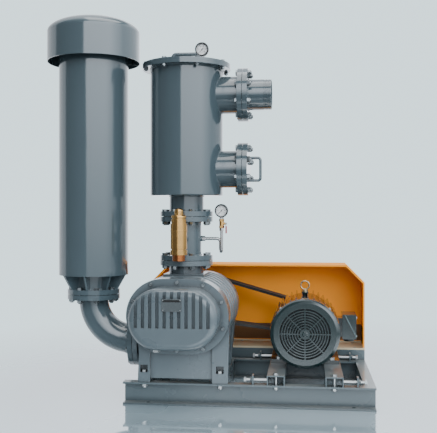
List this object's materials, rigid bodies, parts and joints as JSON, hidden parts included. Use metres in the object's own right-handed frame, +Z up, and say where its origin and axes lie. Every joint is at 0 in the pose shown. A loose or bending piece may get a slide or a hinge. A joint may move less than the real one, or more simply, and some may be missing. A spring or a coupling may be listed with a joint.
{
  "type": "roots vacuum pump package",
  "caption": "Belt-driven three-lobe roots vacuum pump on a channel base with inlet filter vessel, discharge silencer, relief valve, gauges, belt guard and foot-mounted motor.",
  "frame": {"origin": "on the floor at the centre of the four anchor holes of the base", "axes": "+X right along the front beam, +Y to the back where the belt guard stands, +Z up"},
  "size_m": [1.5369, 1.042, 1.806],
  "materials": {
    "unit_paint": "glossy blue-grey enamel",
    "base_paint": "blue-grey enamel, slightly dusty",
    "motor_paint": "glossy dark teal-green enamel",
    "guard_paint": "satin safety-orange enamel",
    "zinc_steel": "bright zinc plate",
    "cast_iron": "machined grey iron",
    "bare_steel": "ground steel",
    "brass": "turned brass",
    "red_lever": "red vinyl grip",
    "rubber": "black rubber",
    "filter_media": "pleated cream felt",
    "stator_core": "laminated electrical steel",
    "fan_plastic": "black nylon",
    "gauge_case": "polished steel with white dial",
    "needle": "black lacquer",
    "glass": "clear flat glass"
  },
  "bodies": {
    "frame": {"base_front_beam": "base_paint", "base_rear_beam": "base_paint", "base_cross_beams": "base_paint", "guard_pedestal": "unit_paint", "belt_guard": "guard_paint", "pump_casing": "unit_paint", "pump_front_plate": "unit_paint", "pump_rear_plate": "unit_paint", "gear_cover": "unit_paint", "nameplate": "bare_steel", "cover_bolts": "zinc_steel", "pump_foot_bolts": "zinc_steel", "oil_drain_plug": "zinc_steel", "pump_bearings": "bare_steel", "shaft_seals": "rubber", "rear_bearing_covers": "unit_paint", "v_belts": "rubber", "inlet_spool": "unit_paint", "flange_gaskets": "rubber", "flange_bolts": "zinc_steel", "relief_valve_body": "brass", "relief_valve_bonnet": "brass", "relief_valve_spring": "bare_steel", "gauge_siphon": "unit_paint", "ball_valve_body": "brass", "gauge_cases": "gauge_case", "gauge_lenses": "glass", "filter_vessel": "unit_paint", "vessel_lid": "unit_paint", "cover_handles": "unit_paint", "filter_cartridge": "filter_media", "suction_nipple": "unit_paint", "inspection_cover": "unit_paint", "discharge_elbow": "unit_paint", "silencer_shell": "unit_paint", "silencer_cap": "unit_paint", "silencer_core": "bare_steel", "tension_brackets": "base_paint"},
    "drive_rotor": {"drive_rotor": "cast_iron", "drive_timing_gear": "bare_steel", "pump_pulley": "cast_iron"},
    "driven_rotor": {"driven_rotor": "cast_iron", "driven_timing_gear": "bare_steel"},
    "motor_carriage": {"motor_rails": "base_paint", "motor_bolts": "zinc_steel", "tension_screws": "zinc_steel", "motor_frame": "motor_paint", "motor_end_shields": "motor_paint", "fan_cover": "motor_paint", "motor_stator": "stator_core", "terminal_box": "motor_paint", "terminal_lid": "motor_paint", "eyebolt": "motor_paint"},
    "motor_rotor": {"motor_rotor": "bare_steel", "motor_fan": "fan_plastic", "motor_pulley": "cast_iron"},
    "valve_lever": {"ball_valve_lever": "red_lever"},
    "line_needle": {"line_gauge_needle": "needle"},
    "lid_needle": {"lid_gauge_needle": "needle"},
    "relief_poppet": {"relief_valve_poppet": "brass"}
  },
  "joints": [
    {"name": "drive_spin", "type": "hinge", "parent": "frame", "child": "drive_rotor", "pos_m": [-0.242, 0, 0.4], "axis": [0, 1, 0], "continuous": true},
    {"name": "driven_spin", "type": "hinge", "parent": "frame", "child": "driven_rotor", "pos_m": [-0.386, 0, 0.4], "axis": [0, 1, 0], "continuous": true},
    {"name": "belt_take_up", "type": "slide", "parent": "frame", "child": "motor_carriage", "axis": [1, 0, 0], "range_m": [-0.008, 0.008], "deforming": ["v_belts"]},
    {"name": "motor_spin", "type": "hinge", "parent": "motor_carriage", "child": "motor_rotor", "pos_m": [0.244, 0, 0.303], "axis": [0, 1, 0], "continuous": true},
    {"name": "valve_turn", "type": "hinge", "parent": "frame", "child": "valve_lever", "pos_m": [-0.143, -0.231, 0.806], "axis": [-1, 0, 0], "range_deg": [0, 90]},
    {"name": "line_needle_turn", "type": "hinge", "parent": "frame", "child": "line_needle", "pos_m": [-0.143, -0.231, 0.866], "axis": [0, 1, 0], "range_deg": [0, 270]},
    {"name": "lid_needle_turn", "type": "hinge", "parent": "frame", "child": "lid_needle", "pos_m": [-0.219, -0.345, 1.595], "axis": [0, 1, 0], "range_deg": [0, 270]},
    {"name": "relief_lift", "type": "slide", "parent": "frame", "child": "relief_poppet", "axis": [0, 0, 1], "range_m": [0, 0.008], "deforming": ["relief_valve_spring"]}
  ],
  "couplings": [
    {"joint": "driven_spin", "follows": "drive_spin", "ratio": -1},
    {"joint": "motor_spin", "follows": "drive_spin", "ratio": 1.4903}
  ]
}
